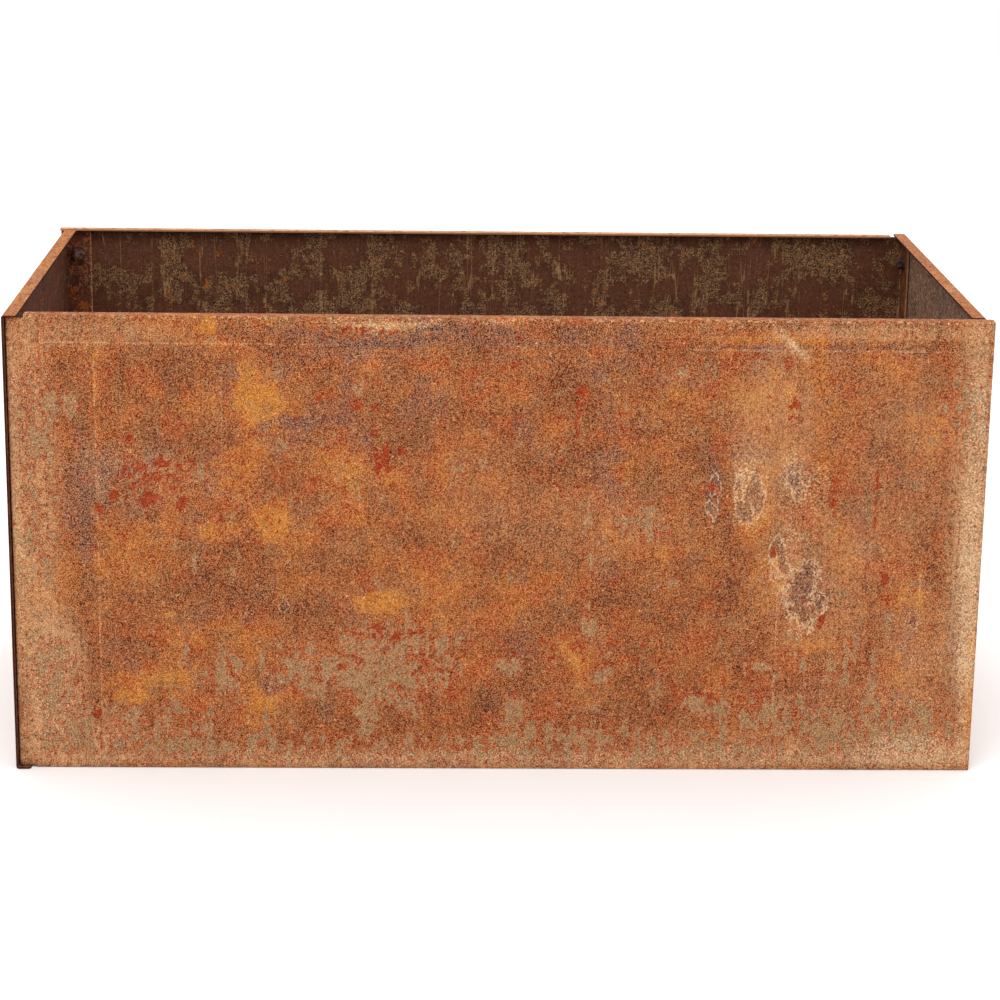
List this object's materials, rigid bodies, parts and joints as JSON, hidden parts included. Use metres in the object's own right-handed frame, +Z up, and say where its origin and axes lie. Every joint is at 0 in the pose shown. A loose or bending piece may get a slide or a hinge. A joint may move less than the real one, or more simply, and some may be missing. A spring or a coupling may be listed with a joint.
{
  "type": "planter box",
  "caption": "Open-topped rectangular planter box of folded weathering-steel sheet, with lipped rims, bolted corners and a drained floor.",
  "frame": {"origin": "middle of the box on the ground, at the underside of the bottom lips", "axes": "+X along the long sides, to the right as seen from the front; -Y towards the front; +Z up"},
  "size_m": [1, 0.52, 0.48],
  "materials": {
    "weathered_sheet": "rusted weathering steel, matt and mottled",
    "floor_sheet": "dark rusted steel sheet, matt",
    "fasteners": "dark rusted steel, matt"
  },
  "bodies": {
    "root": {"front_panel": "weathered_sheet", "right_panel": "weathered_sheet", "back_panel": "weathered_sheet", "left_panel": "weathered_sheet", "floor_panel": "floor_sheet", "front_left_studs": "fasteners", "front_left_washers": "fasteners", "front_left_nuts": "fasteners", "front_right_studs": "fasteners", "front_right_washers": "fasteners", "front_right_nuts": "fasteners", "back_right_studs": "fasteners", "back_right_washers": "fasteners", "back_right_nuts": "fasteners", "back_left_studs": "fasteners", "back_left_washers": "fasteners", "back_left_nuts": "fasteners"}
  },
  "joints": []
}
